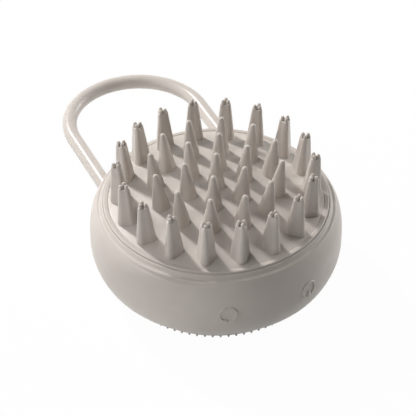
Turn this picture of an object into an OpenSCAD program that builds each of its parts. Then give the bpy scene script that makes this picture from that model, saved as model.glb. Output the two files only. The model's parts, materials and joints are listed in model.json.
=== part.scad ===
// Palm-sized electric scalp massager.
// A round body in a soft jacket carries a domed silicone brush pad on top: pointed cones in the
// middle and forked prongs round the edge. A vibration motor hangs under the pad's carrier, two keys
// sit in the front wall, and a carrying loop comes out of the back where the two shells meet.
// Origin: centre of the underside, in the plane it rests on. +Z up, loop towards +Y, keys at -Y.

/* [Body] */
// Widest diameter of the body, over the soft jacket
body_d = 86; // [83:0.5:92]
// Height of the widest line above the surface the body rests on
belly_z = 17; // [16:0.25:18]
// Depth below the widest line at which the lower curve would close
under_depth = 28.45; // [27.5:0.05:30]
// Fullness of the lower curve, 2 being an ellipse
under_fullness = 1.88; // [1.8:0.01:2.1]
// How much narrower than the widest line the jacket's lower edge is, on each side
foot_inset = 8.6; // [8:0.1:9.2]
// How fast the foot widens above that edge, as radius per height
foot_slope = 1.15; // [1.1:0.05:1.3]
// Height above the widest line at which the upper curve would close
over_height = 25.3; // [25:0.1:28]
// Fullness of the upper curve, 2 being an ellipse
over_fullness = 3.57; // [3.2:0.01:4]
// Height of the rim that surrounds the brush pad
rim_z = 32.3; // [31.5:0.1:33]
// Radius of the rounded bead along the rim
rim_bead_r = 0.4; // [0.35:0.05:0.5]
// How much narrower than the body's curve the bead is at that height
rim_flat = 0.35; // [0.3:0.05:0.5]
// Depth below the rim of the narrow ledge between the bead and the body's shoulder
rim_ledge_drop = 0.85; // [0.7:0.05:1]
// Wall of the soft jacket
jacket_wall = 1.2; // [1:0.1:1.5]
// Wall of the hard shells
shell_wall = 2; // [1.6:0.1:2.4]
// Height at which the two shells meet
split_z = 18; // [17.5:0.25:18.5]

/* [Brush pad] */
// Radius of the sphere that the domed pad is part of
dome_r = 143; // [125:1:250]
// Thickness of the pad
pad_wall = 2; // [1.5:0.1:2.5]
// Thickness of the hard carrier under the pad
carrier_wall = 1.6; // [1.2:0.1:2]
// How deep the pad and its carrier sit in the body, from the rim to the ledge
pad_seat_depth = 3.7; // [3.4:0.1:4.2]
// How far the edge of the pad's field stands above the rim
field_rise = 0.65; // [0.5:0.05:1]
// Width of the raised edge round the pad's field
pad_edge_w = 1.6; // [1.3:0.1:2]
// Rise of that edge above the field
pad_edge_rise = 0.15; // [0.1:0.05:0.3]
// Gap between the pad and the jacket's mouth
pad_gap = 0.1; // [0.05:0.05:0.3]

/* [Pointed cones] */
// Height of a pointed cone
cone_h = 14; // [11:0.5:17]
// Diameter of a cone at its foot
cone_foot_d = 6; // [4.5:0.1:6.4]
// Diameter of a cone's rounded tip
cone_tip_d = 1.9; // [1.2:0.1:2.6]
// Radius of the inner ring of cones, at their feet
inner_ring_r = 10.3; // [9:0.1:11]
// Number of cones in the inner ring
inner_count = 6; // [4:1:7]
// Outward lean of the inner ring, in degrees
inner_lean = 5; // [0:0.5:8]
// Radius of the middle ring of cones, at their feet
middle_ring_r = 20.2; // [18.5:0.1:21.5]
// Number of cones in the middle ring
middle_count = 12; // [8:1:14]
// Outward lean of the middle ring, in degrees
middle_lean = 7.5; // [0:0.5:10]

/* [Forked prongs] */
// Height of a forked prong, with its nubs
prong_h = 15.5; // [12:0.5:18]
// Diameter round a prong's three lobes at its foot
prong_foot_d = 6.9; // [5.8:0.1:7.2]
// Diameter round the lobes at the top
prong_top_d = 4; // [3.4:0.1:4.2]
// Radius of one lobe at the foot
lobe_foot_r = 1.95; // [1.7:0.05:2.2]
// Radius of one lobe at the top
lobe_top_r = 1; // [0.8:0.05:1.1]
// Diameter of the round nub on each lobe
prong_nub_d = 1.2; // [0.9:0.05:1.3]
// Height that the nubs stand above the lobes
prong_nub_h = 1.2; // [0.9:0.05:1.6]
// Distance from the feet's ring in to the edge of the pad's field
outer_ring_inset = 4.4; // [3.6:0.1:5]
// Number of prongs
outer_count = 18; // [12:1:20]
// Outward lean of the prongs, in degrees
outer_lean = 4; // [0:0.5:7]
// Turn of the ring of prongs about the body's axis, in degrees
outer_turn = -1; // [-4:0.5:4]

/* [Grip pad] */
// Thickness of the pad under the body
grip_wall = 1; // [0.8:0.1:1.4]
// How far the pad's edge stands in from the jacket's lower edge
grip_inset = 0.1; // [0.1:0.1:1]
// Height of the small nubs under the pad
grip_nub_h = 1; // [0.6:0.05:1.1]
// Diameter of a nub where it stands on the pad
grip_nub_d = 1.1; // [0.9:0.05:1.2]
// Distance from one nub to the next
grip_nub_pitch = 2.64; // [2.4:0.02:3.6]
// Distance from the outer ring of nubs to the pad's edge
grip_nub_inset = 0.05; // [0.05:0.05:0.5]
// Diameter of the smooth disc in the middle that the body rests on
rest_disc_d = 24; // [18:1:30]

/* [Hang loop] */
// Diameter of the loop's cord-like body
loop_d = 5.3; // [4:0.1:5.8]
// Distance between the loop's two straight legs, centre to centre
loop_w = 50.2; // [49:0.2:51]
// Distance from the body's centre to the far outer edge of the loop
loop_reach = 95.8; // [85:0.5:110]
// Diameter of the button on each leg's end, held inside the shells
loop_stop_d = 8.4; // [7:0.1:8.8]
// Thickness of that button
loop_stop_t = 2.5; // [2:0.1:2.6]
// Distance from the body's centre to the inner face of that button
loop_stop_y = 24.5; // [24:0.1:25]
// Clearance round the legs and their buttons
loop_gap = 0.08; // [0.05:0.01:0.15]

/* [Keys] */
// Angle of each key from the front
key_angle = 20; // [18:0.5:22]
// Height of the keys' centres
key_z = 18.8; // [18:0.1:19.5]
// Diameter of a key's disc in the jacket
key_d = 9.6; // [8.8:0.1:10.4]
// Gap round a key's disc
key_gap = 0.1; // [0.05:0.05:0.2]
// How far a key goes in when it is pressed
key_travel = 0.5; // [0.3:0.05:0.6]
// Mean radius of the icons
icon_r = 2.9; // [2.4:0.1:3.2]
// Width of the icons' strokes
icon_stroke = 0.7; // [0.5:0.05:0.9]
// Height that the icons stand proud of the jacket
icon_rise = 0.36; // [0.2:0.01:0.4]
// Diameter of the plunger behind a key
plunger_d = 4.8; // [4:0.1:5.4]
// Diameter of the collar that keeps the plunger in
collar_d = 7.2; // [6.6:0.1:7.8]

/* [Switches] */
// Side of a switch's square housing
switch_w = 6; // [5:0.1:6.2]
// Depth of that housing
switch_t = 3; // [2.6:0.1:3.2]
// Diameter of the switch's cap
switch_cap_d = 3; // [2.4:0.1:3.4]
// Width and height of a key's little board
key_board_w = 12; // [10:0.1:12.4]
// Thickness of the little boards
key_board_t = 1; // [0.8:0.1:1.2]

/* [Motor] */
// Diameter of the motor's can
motor_d = 12; // [10:0.1:12.6]
// Length of the can
motor_l = 20; // [18:0.5:21]
// Wall of the can
can_wall = 0.8; // [0.6:0.05:1]
// Diameter of the motor's shaft
shaft_d = 2; // [1.5:0.1:2.4]
// Running clearance round the shaft
shaft_gap = 0.05; // [0.03:0.01:0.08]
// Radius of the half-round eccentric weight
weight_r = 5; // [4:0.1:5.4]
// Length of the weight
weight_l = 6; // [4:0.5:7]
// Wall of the bracket that straps the motor up
strap_wall = 1.5; // [1.2:0.1:1.8]

/* [Battery and boards] */
// Length of the battery
battery_l = 38; // [34:0.5:38.5]
// Width of the battery
battery_w = 28; // [24:0.5:29]
// Thickness of the battery
battery_t = 8; // [6:0.1:8.2]
// Thickness of the foam under and over the battery
foam_t = 1; // [0.8:0.1:1.2]
// How far the main board reaches past each end of the battery
board_over = 6; // [5.5:0.1:6.5]
// How far the main board reaches past each side of the battery
board_side = 5; // [4.6:0.1:5.4]
// Thickness of the main board
board_t = 1.2; // [1:0.1:1.6]
// Forward shift of the battery and the board
inner_shift = 2; // [1.5:0.1:2.5]

/* [Charging port] */
// Diameter of the port's plug in the back wall
port_d = 12; // [11:0.1:12.6]
// Diameter of each charging contact
contact_d = 2.2; // [1.8:0.1:2.6]
// Distance between the two contacts
contact_pitch = 6; // [5:0.1:6.4]

/* [Screws] */
// Distance from the ledge's inner edge in to the shell screws
shell_screw_inset = 3.2; // [3:0.1:3.4]
// Distance from the ledge's inner edge in to the carrier screws
carrier_screw_inset = 1.5; // [1.2:0.1:1.8]
// Thread diameter of the small screws
screw_d = 2; // [1.6:0.1:2.2]
// Head diameter of the small screws
screw_head_d = 3.8; // [3.4:0.1:4]
// Head height of the small screws
screw_head_h = 1.2; // [1:0.1:1.4]

/* [Hidden] */
$fn = 48;
round_fn = 160;
eps = 0.01;

greige = [0.80, 0.77, 0.74];
hard_greige = [0.70, 0.67, 0.64];
steel = [0.72, 0.73, 0.75];

// ---- the body's curve ----
body_r = body_d / 2;
under_wall = jacket_wall + shell_wall;
foot_blend = 1.2;

// Radius of the body's outer curve at height z
function curve_r(z) =
    let (low = z < belly_z, reach = low ? under_depth : over_height,
         r = body_r * sqrt(max(0, 1 - pow(abs(z - belly_z) / reach, low ? under_fullness : over_fullness))))
    low ? blend_min(r, body_r - foot_inset + (z - base_z) * foot_slope, foot_blend) : r;
// The smaller of two radii, rounded off where they come within "reach" of one another
function blend_min(a, b, reach) =
    let (near = max(0, reach - abs(a - b)) / reach) min(a, b) - near * near * reach / 4;
// Slope of that curve, as radius per height
function curve_slope(z) = (curve_r(z + eps) - curve_r(z - eps)) / (2 * eps);
function curve_norm(z) = sqrt(1 + pow(curve_slope(z), 2));
// Height of the point that lies "depth" under the curve's point at height s
function layer_z(s, depth) = s + depth * curve_slope(s) / curve_norm(s);
// The curve's point whose layer point has height z, by halving
function station(z, depth, lo, hi, n = 22) = n == 0 ? (lo + hi) / 2
    : let (mid = (lo + hi) / 2)
      layer_z(mid, depth) < z ? station(z, depth, mid, hi, n - 1) : station(z, depth, lo, mid, n - 1);
// Radius at height z of the surface that lies "depth" under the body's outer one
function wall_r(z, depth) = depth == 0 ? curve_r(z)
    : let (span = 2 * abs(depth) + 0.5, s = station(z, depth, z - span, z + span))
      curve_r(s) - depth / curve_norm(s);
// Points up one layer, from height z0 to z1
function layer_line(depth, z0, z1, steps = 14) =
    [for (i = [0 : steps]) let (z = z0 + (z1 - z0) * i / steps) [wall_r(z, depth), z]];
// The jacket's inner face, in the same steps as the two shells that lie against it
function tail(list) = [for (i = [1 : len(list) - 1]) list[i]];
function jacket_back() = concat(layer_line(jacket_wall, base_z, split_z),
    tail(layer_line(jacket_wall, split_z, shell_top_z)));
function reversed(list) = [for (i = [len(list) - 1 : -1 : 0]) list[i]];
function arc(cx, cy, r, a0, a1, steps = 8) =
    [for (i = [0 : steps]) let (a = a0 + (a1 - a0) * i / steps) [cx + r * cos(a), cy + r * sin(a)]];

// ---- derived heights and radii ----
grip_z = grip_nub_h;
base_z = grip_z + grip_wall;
floor_z = base_z + shell_wall;
mouth_r = curve_r(rim_z) - rim_flat - 2 * rim_bead_r;
rim_ledge_z = rim_z - rim_ledge_drop;
// How far the bead's foot spreads out on to the ledge
rim_slant = 0.35;
pad_r = mouth_r - pad_gap;
field_r = pad_r - pad_edge_w;
field_z = rim_z + field_rise;
dome_cz = field_z - sqrt(dome_r * dome_r - field_r * field_r);
crown_z = dome_cz + dome_r;
lip_h = 1.9;
shell_top_z = rim_z - lip_h;
ledge_z = rim_z - pad_seat_depth;
ledge_t = 2.4;
ledge_bottom_z = ledge_z - ledge_t;
ledge_w = 3.4;
ledge_r = field_r - ledge_w;
pad_edge_round = 0.3;
// How much lower the raised edge is on its outer side, and how wide its inner slope is
pad_edge_fall = 0.25;
pad_edge_slant = 0.2;
// How far the raised edge's root reaches into the field's thickness, and how deep under both faces
pad_root_w = 0.5;
pad_root_cover = 0.4;
outer_ring_r = field_r - outer_ring_inset;
// Share of the width that is left between a prong's lobes
prong_waist = 0.94;
grip_r = curve_r(base_z) - grip_inset;
// Share of a grip nub's diameter that is left at its tip
grip_tip_share = 0.5;

shell_screw_r = ledge_r - shell_screw_inset;
carrier_screw_r = ledge_r - carrier_screw_inset;

seal_w = 1.4;
seal_h = 1.2;
seal_inset = 1.7;
seal_r = field_r - seal_inset;
fit_gap = 0.05;
wire_r = 0.5;

tongue_r = wall_r(split_z, under_wall);
tongue_w = 0.9;
tongue_h = 1.2;
tongue_gap = 0.1;

loop_arc_r = loop_w / 2;
loop_arc_y = loop_reach - loop_arc_r - loop_d / 2;
loop_block_w = 11;
loop_block_h = 5.5;
loop_block_y = 22;

// Keys, switches and their boards, measured outwards from the body's axis
shell_in = body_r - under_wall;
collar_t = 0.8;
collar_gap = 0.6;
collar_out = shell_in - collar_gap;
collar_in = collar_out - collar_t;
cap_rise = 1;
cap_depth = 1.1;
switch_out = collar_in - cap_rise;
switch_in = switch_out - switch_t;
board_in = switch_in - key_board_t;
cap_in = switch_out - cap_depth;
key_sink = key_travel + 0.6;
plunger_gap = 0.1;
key_low_z = key_z - key_d / 2 - 1;
key_high_z = key_z + key_d / 2 + 1;
mode_az = -90 - key_angle;
power_az = -90 + key_angle;
bracket_z = 14;
bracket_wall = 1.2;
bracket_side = 1.5;
slot_z = 12;

// Motor
carrier_under_z = crown_z - pad_wall - carrier_wall;
motor_r = motor_d / 2;
motor_cover = 1;
motor_z = carrier_under_z - motor_cover - motor_r;
motor_x0 = -12;
motor_x1 = motor_x0 + motor_l;
cradle_x0 = -10;
cradle_l = 16;
strap_ear_t = 1.5;
strap_ear_w = 6.5;
strap_screw_y = motor_r + 4;
cradle_w = 2 * (motor_r + strap_ear_w);
shaft_r = shaft_d / 2;
shaft_inset = 1.5;
shaft_x = motor_x0 + shaft_inset;
shaft_tip = 0.5;
hub_wall = 1;
bearing_l = 3;
can_end_t = 1;
end_cap_t = 1.2;
rotor_inset = 3;
rotor_x = motor_x0 + rotor_inset;
rotor_l = motor_l - bearing_l - rotor_inset - 2;
armature_inset = 0.5;
magnet_arc_t = 0.7;
magnet_slot = 2;
armature_r = motor_r - can_wall - magnet_arc_t - 0.4;
weight_gap = 1.5;
weight_x = motor_x1 + weight_gap;

// Battery, foam and main board
foam_top_t = 1.4;
foam_inset = 3;
battery_z = floor_z + foam_t;
board_z = battery_z + battery_t + foam_top_t;
board_top = board_z + board_t;
board_l = battery_l + 2 * board_over;
board_w = battery_w + 2 * board_side;
post_r = 2.4;
post_gap = 0.6;
post_side = 2;
post_x = battery_l / 2 + post_gap + post_r;
post_y = battery_w / 2 + post_side;
socket_inset = 4.5;
socket_entry_h = 1.8;
lead_pitch = 2;
lead_run = 2;

// Port
port_y0 = shell_in - 3.8;
port_flange_y = shell_in - 2.8;
port_flange_t = 1.5;
port_flange_r = port_d / 2 + 1.4;
port_flange_gap = 0.2;
pin_tail = 0.6;
magnet_d = 3;
magnet_l = 3;
magnet_z = 3.6;

// Screws
screw_r = screw_d / 2;
screw_bore_r = screw_r + fit_gap;
screw_pass_r = screw_r + 0.2;
head_bore_r = screw_head_d / 2 + 0.25;
shell_post_r = 3;
shell_pilot_l = 7;
shell_screw_l = 14;
board_screw_l = 7;
pilot_floor = 3;
rib_w = 1.6;
lug_r = 3.4;
shell_head_z = 9;
carrier_boss_r = 2.7;
carrier_screw_l = 2;
strap_screw_l = 4;

// ---- shared shapes ----
// Solid of revolution under one layer of the body
module layer_solid(depth, z0, z1)
    rotate_extrude($fn = round_fn)
        polygon(concat([[0, z0]], layer_line(depth, z0, z1), [[0, z1]]));

// Band of the body's wall between two layers
module layer_band(outer, inner, z0, z1)
    rotate_extrude($fn = round_fn)
        polygon(concat(layer_line(outer, z0, z1), reversed(layer_line(inner, z0, z1))));

module ring(r0, r1, z0, z1)
    rotate_extrude($fn = round_fn) translate([r0, z0]) square([r1 - r0, z1 - z0]);

// Ball that the pad's surfaces lie on, "depth" under the pad's skin
module dome_ball(depth) translate([0, 0, dome_cz]) sphere(dome_r - depth, $fn = 240);

// Places children in the wall: x along the wall, y up, z straight out from the body's axis
module on_wall(az, z) translate([0, 0, z]) rotate([0, 0, az]) rotate([90, 0, 90]) children();

module around(count, r, start = 0)
    for (i = [0 : count - 1]) rotate([0, 0, start + i * 360 / count]) translate([r, 0, 0]) children();

module mirrored_x() { children(); mirror([1, 0, 0]) children(); }

// Screw pointing up from its head, which starts at z = 0
module screw(shank) {
    cylinder(r = screw_head_d / 2, h = screw_head_h);
    translate([0, 0, screw_head_h]) cylinder(r = screw_r, h = shank);
}

// A thin wire along a list of points: rings of eight points joined by faces
function unit(v) = v / norm(v);
function wire_dir(p, i) = unit(p[min(i + 1, len(p) - 1)] - p[max(i - 1, 0)]);
function wire_ring(p, i, r) =
    let (t = wire_dir(p, i), u = unit(cross(t, [0.31, 0.87, 0.38])), v = cross(t, u))
    [for (k = [0 : 7]) p[i] + r * (cos(45 * k) * u + sin(45 * k) * v)];
module wire(p, r = wire_r) {
    n = len(p);
    polyhedron(
        points = [for (i = [0 : n - 1]) each wire_ring(p, i, r)],
        faces = concat(
            [[for (k = [0 : 7]) k]],
            [for (i = [0 : n - 2]) for (k = [0 : 7]) let (a = 8 * i + k, b = 8 * i + (k + 1) % 8)
                each [[a, a + 8, b], [b, a + 8, b + 8]]],
            [[for (k = [7 : -1 : 0]) 8 * (n - 1) + k]]));
}
// ---- openings in the walls ----
module key_hole(az, r, z0) on_wall(az, key_z) translate([0, 0, z0]) cylinder(r = r, h = body_r);
module loop_bores(gap)
    mirrored_x() translate([loop_arc_r, loop_stop_y, split_z]) rotate([-90, 0, 0]) {
        cylinder(r = loop_d / 2 + gap, h = body_r);
        translate([0, 0, -gap]) cylinder(r = loop_stop_d / 2 + gap, h = loop_stop_t + 2 * gap);
    }
module port_hole(gap)
    on_wall(90, split_z) translate([0, 0, port_y0]) cylinder(r = port_d / 2 + gap, h = body_r);
module shell_openings() {
    for (az = [mode_az, power_az]) {
        key_hole(az, plunger_d / 2 + plunger_gap, collar_in - 1);
        key_hole(az, key_d / 2 + key_gap, body_r - jacket_wall - key_sink);
    }
    loop_bores(loop_gap);
    port_hole(fit_gap);
    on_wall(90, split_z) cylinder(r = port_flange_r + port_flange_gap,
                                  h = port_flange_y + port_flange_t + fit_gap);
}

// Half of the blocks that hold the loop's ends, between two heights
module loop_blocks(z0, z1)
    intersection() {
        mirrored_x() translate([loop_arc_r - loop_block_w / 2, loop_block_y, z0])
            cube([loop_block_w, body_r - loop_block_y, z1 - z0]);
        layer_solid(jacket_wall + 0.4, base_z, shell_top_z);
    }

// ---- casing ----
module soft_jacket()
    color(greige) difference() {
        rotate_extrude($fn = round_fn) polygon(concat(
            layer_line(0, base_z, rim_ledge_z, 30),
            [[mouth_r + 2 * rim_bead_r + rim_slant, rim_ledge_z]],
            arc(mouth_r + rim_bead_r, rim_z - rim_bead_r, rim_bead_r, 0, 180),
            [[mouth_r, shell_top_z]],
            reversed(jacket_back())));
        for (az = [mode_az, power_az]) key_hole(az, key_d / 2 + key_gap, collar_out);
        loop_bores(loop_gap);
        port_hole(fit_gap);
    }

module upper_shell()
    color(hard_greige) difference() {
        union() {
            rotate_extrude($fn = round_fn) polygon(concat(
                layer_line(jacket_wall, split_z, shell_top_z),
                [[mouth_r, shell_top_z], [mouth_r, ledge_z], [ledge_r, ledge_z],
                 [ledge_r, ledge_bottom_z]],
                reversed(layer_line(under_wall, split_z, ledge_bottom_z))));
            loop_blocks(split_z, split_z + loop_block_h);
            around(4, shell_screw_r) translate([0, 0, split_z])
                cylinder(r = shell_post_r, h = ledge_z - split_z);
            around(4, shell_screw_r) translate([0, -shell_post_r, ledge_bottom_z])
                cube([ledge_r + 1 - shell_screw_r, 2 * shell_post_r, ledge_t]);
            around(4, carrier_screw_r, 45) translate([0, 0, ledge_bottom_z])
                cylinder(r = lug_r, h = ledge_t);
            intersection() {
                around(4, shell_screw_r) translate([0, -rib_w / 2, split_z])
                    cube([body_r - shell_screw_r, rib_w, ledge_bottom_z - split_z]);
                layer_solid(jacket_wall + 0.4, base_z, shell_top_z);
            }
        }
        ring(tongue_r - tongue_gap, tongue_r + tongue_w + tongue_gap,
             split_z - 1, split_z + tongue_h + tongue_gap);
        ring(seal_r - seal_w / 2 - fit_gap, seal_r + seal_w / 2 + fit_gap, ledge_z - seal_h, ledge_z + 1);
        around(4, shell_screw_r) translate([0, 0, split_z - 1])
            cylinder(r = screw_bore_r, h = shell_pilot_l + 1);
        around(4, carrier_screw_r, 45) translate([0, 0, ledge_bottom_z - 1])
            cylinder(r = screw_pass_r, h = ledge_t + 2);
        shell_openings();
    }

module lower_shell()
    color(hard_greige) difference() {
        union() {
            rotate_extrude($fn = round_fn) polygon(concat(
                [[0, base_z]],
                layer_line(jacket_wall, base_z, split_z),
                [[tongue_r + tongue_w, split_z], [tongue_r + tongue_w, split_z + tongue_h],
                 [tongue_r, split_z + tongue_h]],
                reversed(layer_line(under_wall, floor_z, split_z)),
                [[0, floor_z]]));
            intersection() {
                union() {
                    loop_blocks(split_z - loop_block_h, split_z);
                    around(4, shell_screw_r) translate([0, 0, base_z])
                        cylinder(r = shell_post_r, h = split_z - base_z);
                    for (az = [mode_az, power_az]) on_wall(az, base_z)
                        translate([-key_board_w / 2 - bracket_side, 0, board_in - bracket_wall])
                            cube([key_board_w + 2 * bracket_side, bracket_z - base_z,
                                  key_board_t + 2 * bracket_wall]);
                }
                layer_solid(jacket_wall + 0.4, base_z, split_z);
            }
            board_posts() cylinder(r = post_r, h = board_z - base_z - shell_wall / 2);
        }
        around(4, shell_screw_r) {
            translate([0, 0, base_z - 1]) cylinder(r = head_bore_r, h = shell_head_z - base_z + 1);
            cylinder(r = screw_pass_r, h = split_z + 1);
        }
        board_posts() translate([0, 0, pilot_floor]) cylinder(r = screw_bore_r, h = board_z);
        for (az = [mode_az, power_az]) on_wall(az, slot_z)
            translate([-key_board_w / 2 - fit_gap, 0, board_in - fit_gap])
                cube([key_board_w + 2 * fit_gap, key_board_w, key_board_t + 2 * fit_gap]);
        shell_openings();
    }

module board_posts()
    for (x = [-post_x, post_x], y = [-post_y, post_y])
        translate([x, y - inner_shift, base_z + shell_wall / 2]) children();

module shell_screws()
    color(steel) around(4, shell_screw_r) translate([0, 0, shell_head_z - screw_head_h])
        screw(shell_screw_l);

// ---- underside ----
module grip_pad() {
    nub_r = grip_nub_d / 2;
    ring_r0 = grip_r - grip_nub_inset - nub_r;
    rings = floor((ring_r0 - rest_disc_d / 2 - grip_nub_d) / grip_nub_pitch);
    color(greige) union() {
        translate([0, 0, grip_z]) cylinder(r = grip_r, h = grip_wall, $fn = round_fn);
        cylinder(r = rest_disc_d / 2, h = grip_z + eps, $fn = round_fn);
        for (i = [0 : rings]) let (r = ring_r0 - i * grip_nub_pitch)
            around(round(2 * PI * r / grip_nub_pitch), r)
                cylinder(r1 = grip_tip_share * nub_r, r2 = nub_r, h = grip_z + eps, $fn = 16);
    }
}

// ---- brush head ----
module brush_pad()
    color(greige) union() {
        difference() {
            intersection() {
                dome_ball(0);
                translate([0, 0, ledge_z]) cylinder(r = field_r, h = 20, $fn = round_fn);
            }
            dome_ball(pad_wall);
        }
        rotate_extrude($fn = round_fn) polygon(concat(
            [[field_r, ledge_z], [pad_r, ledge_z]],
            arc(pad_r - pad_edge_round, field_z + pad_edge_rise - pad_edge_fall - pad_edge_round,
                pad_edge_round, 0, 80, 6),
            [[field_r + pad_edge_slant, field_z + pad_edge_rise], [field_r, field_z],
             [field_r - pad_root_w, field_z - pad_root_cover],
             [field_r - pad_root_w, field_z - pad_wall + pad_root_cover], [field_r, field_z - pad_wall]]));
    }

// Stands children on the pad, leaning outwards, and cuts their feet to the dome
module on_pad(count, r, lean, turn = 0)
    around(count, r, turn) translate([0, 0, crown_z - dome_r + sqrt(dome_r * dome_r - r * r)])
        rotate([0, lean, 0]) children();

module cone()
    rotate_extrude($fn = 40) polygon(concat(
        [[0, -2], [cone_foot_d / 2 + 0.3, -2]],
        [for (i = [0 : 5]) let (t = i / 5, top = cone_h - cone_tip_d / 2)
            [cone_foot_d / 2 + (cone_tip_d / 2 - cone_foot_d / 2) * pow(t, 1.12), top * t]],
        arc(0, cone_h - cone_tip_d / 2, cone_tip_d / 2, 15, 90, 4)));

module massage_cones()
    color(greige) difference() {
        union() {
            on_pad(1, 0, 0) cone();
            on_pad(inner_count, inner_ring_r, inner_lean) cone();
            on_pad(middle_count, middle_ring_r, middle_lean) cone();
        }
        dome_ball(0);
    }

module prong() {
    lobe_h = prong_h - prong_nub_h;
    foot_off = prong_foot_d / 2 - lobe_foot_r;
    top_off = prong_top_d / 2 - lobe_top_r;
    pitch = atan((foot_off - top_off) / lobe_h);
    nub_r = prong_nub_d / 2;
    translate([0, 0, -1.5]) cylinder(r1 = prong_waist * (foot_off / 2 + lobe_foot_r),
                                     r2 = prong_waist * (top_off / 2 + lobe_top_r), h = lobe_h + 1.2);
    for (i = [0 : 2]) rotate([0, 0, 120 * i]) {
        translate([foot_off, 0, 0]) rotate([0, -pitch, 0]) translate([0, 0, -1.5])
            cylinder(r1 = lobe_foot_r, r2 = lobe_top_r, h = lobe_h + 1.5);
        translate([top_off, 0, lobe_h - 1]) cylinder(r = nub_r - 0.02, h = prong_nub_h + 1 - nub_r);
        translate([top_off, 0, prong_h - nub_r]) sphere(nub_r, $fn = 24);
    }
}

module forked_prongs()
    color(greige) difference() {
        on_pad(outer_count, outer_ring_r, outer_lean, outer_turn) prong();
        dome_ball(0);
    }

module brush_carrier()
    color(hard_greige) difference() {
        union() {
            intersection() {
                dome_ball(pad_wall);
                difference() {
                    translate([0, 0, ledge_z]) cylinder(r = field_r, h = 20, $fn = round_fn);
                    intersection() {
                        dome_ball(pad_wall + carrier_wall);
                        cylinder(r = ledge_r, h = 60, $fn = round_fn);
                    }
                }
            }
            intersection() {
                dome_ball(pad_wall + carrier_wall / 2);
                union() {
                    translate([cradle_x0, -cradle_w / 2, motor_z]) cube([cradle_l, cradle_w, 20]);
                    around(4, carrier_screw_r, 45) translate([0, 0, ledge_z])
                        cylinder(r = carrier_boss_r, h = 20);
                }
            }
        }
        translate([cradle_x0 - 10, 0, motor_z]) rotate([0, 90, 0]) cylinder(r = motor_r, h = 40);
        around(4, carrier_screw_r, 45) translate([0, 0, ledge_z - 1])
            cylinder(r = screw_bore_r, h = carrier_screw_l + 1.2);
        strap_holes() translate([0, 0, -1]) cylinder(r = screw_bore_r, h = strap_screw_l + 2);
    }

module carrier_seal()
    color([0.2, 0.2, 0.2]) ring(seal_r - seal_w / 2, seal_r + seal_w / 2, ledge_z - seal_h, ledge_z);

module carrier_screws()
    color(steel) around(4, carrier_screw_r, 45)
        translate([0, 0, ledge_bottom_z - screw_head_h]) screw(ledge_t + carrier_screw_l);

// ---- hang loop ----
module hang_loop()
    color(greige) union() {
        translate([0, loop_arc_y, split_z])
            rotate_extrude(angle = 180, $fn = 96) translate([loop_arc_r, 0]) circle(d = loop_d);
        mirrored_x() translate([loop_arc_r, 0, split_z]) rotate([-90, 0, 0]) {
            translate([0, 0, loop_stop_y]) cylinder(d = loop_d, h = loop_arc_y - loop_stop_y);
            translate([0, 0, loop_stop_y]) cylinder(d = loop_stop_d, h = loop_stop_t);
        }
    }

// ---- keys ----
module arc_stroke(a0, a1) polygon(concat(
    arc(0, 0, icon_r + icon_stroke / 2, a0, a1, 20), arc(0, 0, icon_r - icon_stroke / 2, a1, a0, 20)));

// Ring with a gap below and a short bar in the gap
module power_icon() {
    arc_stroke(-57, 237);
    translate([-icon_stroke / 2, -icon_r - icon_stroke]) square([icon_stroke, icon_r]);
}

// Two arrows that chase each other round
module mode_icon() for (turn = [0, 180]) rotate(turn) {
    arc_stroke(-70, 68);
    polygon([for (p = [[icon_r - 1.05, 62], [icon_r + 0.75, 58], [icon_r + 0.1, 92]])
        [p[0] * cos(p[1]), p[0] * sin(p[1])]]);
}

module key(az) {
    color(greige) union() {
        intersection() {
            on_wall(az, key_z) translate([0, 0, collar_out]) cylinder(d = key_d, h = body_r);
            layer_band(0, jacket_wall, key_low_z, key_high_z);
        }
        intersection() {
            on_wall(az, key_z) translate([0, 0, collar_out]) linear_extrude(body_r) children();
            layer_band(-icon_rise, jacket_wall / 2, key_low_z, key_high_z);
        }
    }
}

module plunger(az)
    color(hard_greige) intersection() {
        on_wall(az, key_z) translate([0, 0, collar_in]) {
            cylinder(d = plunger_d, h = 10);
            cylinder(d = collar_d, h = collar_t);
        }
        layer_solid(jacket_wall, key_low_z, key_high_z);
    }

module switch_cap(az)
    color([0.12, 0.12, 0.12]) on_wall(az, key_z) translate([0, 0, cap_in])
        cylinder(d = switch_cap_d, h = collar_in - cap_in);

module switch_housing(az)
    color([0.75, 0.76, 0.78]) on_wall(az, key_z) difference() {
        translate([-switch_w / 2, -switch_w / 2, switch_in]) cube([switch_w, switch_w, switch_t]);
        translate([0, 0, cap_in - key_travel - 2 * fit_gap])
            cylinder(d = switch_cap_d + 2 * fit_gap, h = switch_t);
    }

module key_board(az)
    color([0.1, 0.35, 0.2]) on_wall(az, slot_z)
        translate([-key_board_w / 2, 0, board_in]) cube([key_board_w, key_board_w, key_board_t]);

module mode_key() key(mode_az) mode_icon();
module mode_plunger() plunger(mode_az);
module mode_switch_cap() switch_cap(mode_az);
module mode_switch() switch_housing(mode_az);
module mode_board() key_board(mode_az);
module power_key() key(power_az) power_icon();
module power_plunger() plunger(power_az);
module power_switch_cap() switch_cap(power_az);
module power_switch() switch_housing(power_az);
module power_board() key_board(power_az);

// ---- battery and main board ----
module battery()
    color([0.55, 0.6, 0.66])
        translate([-battery_l / 2, -battery_w / 2 - inner_shift, battery_z])
            cube([battery_l, battery_w, battery_t]);

module battery_foam()
    color([0.25, 0.25, 0.27]) for (z = [[floor_z, foam_t], [battery_z + battery_t, foam_top_t]])
        translate([foam_inset - battery_l / 2, foam_inset - battery_w / 2 - inner_shift, z[0]])
            cube([battery_l - 2 * foam_inset, battery_w - 2 * foam_inset, z[1]]);

module main_board()
    color([0.1, 0.35, 0.2]) difference() {
        translate([-board_l / 2, -board_w / 2 - inner_shift, board_z])
            cube([board_l, board_w, board_t]);
        board_posts() cylinder(r = screw_pass_r, h = 30);
    }

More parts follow.
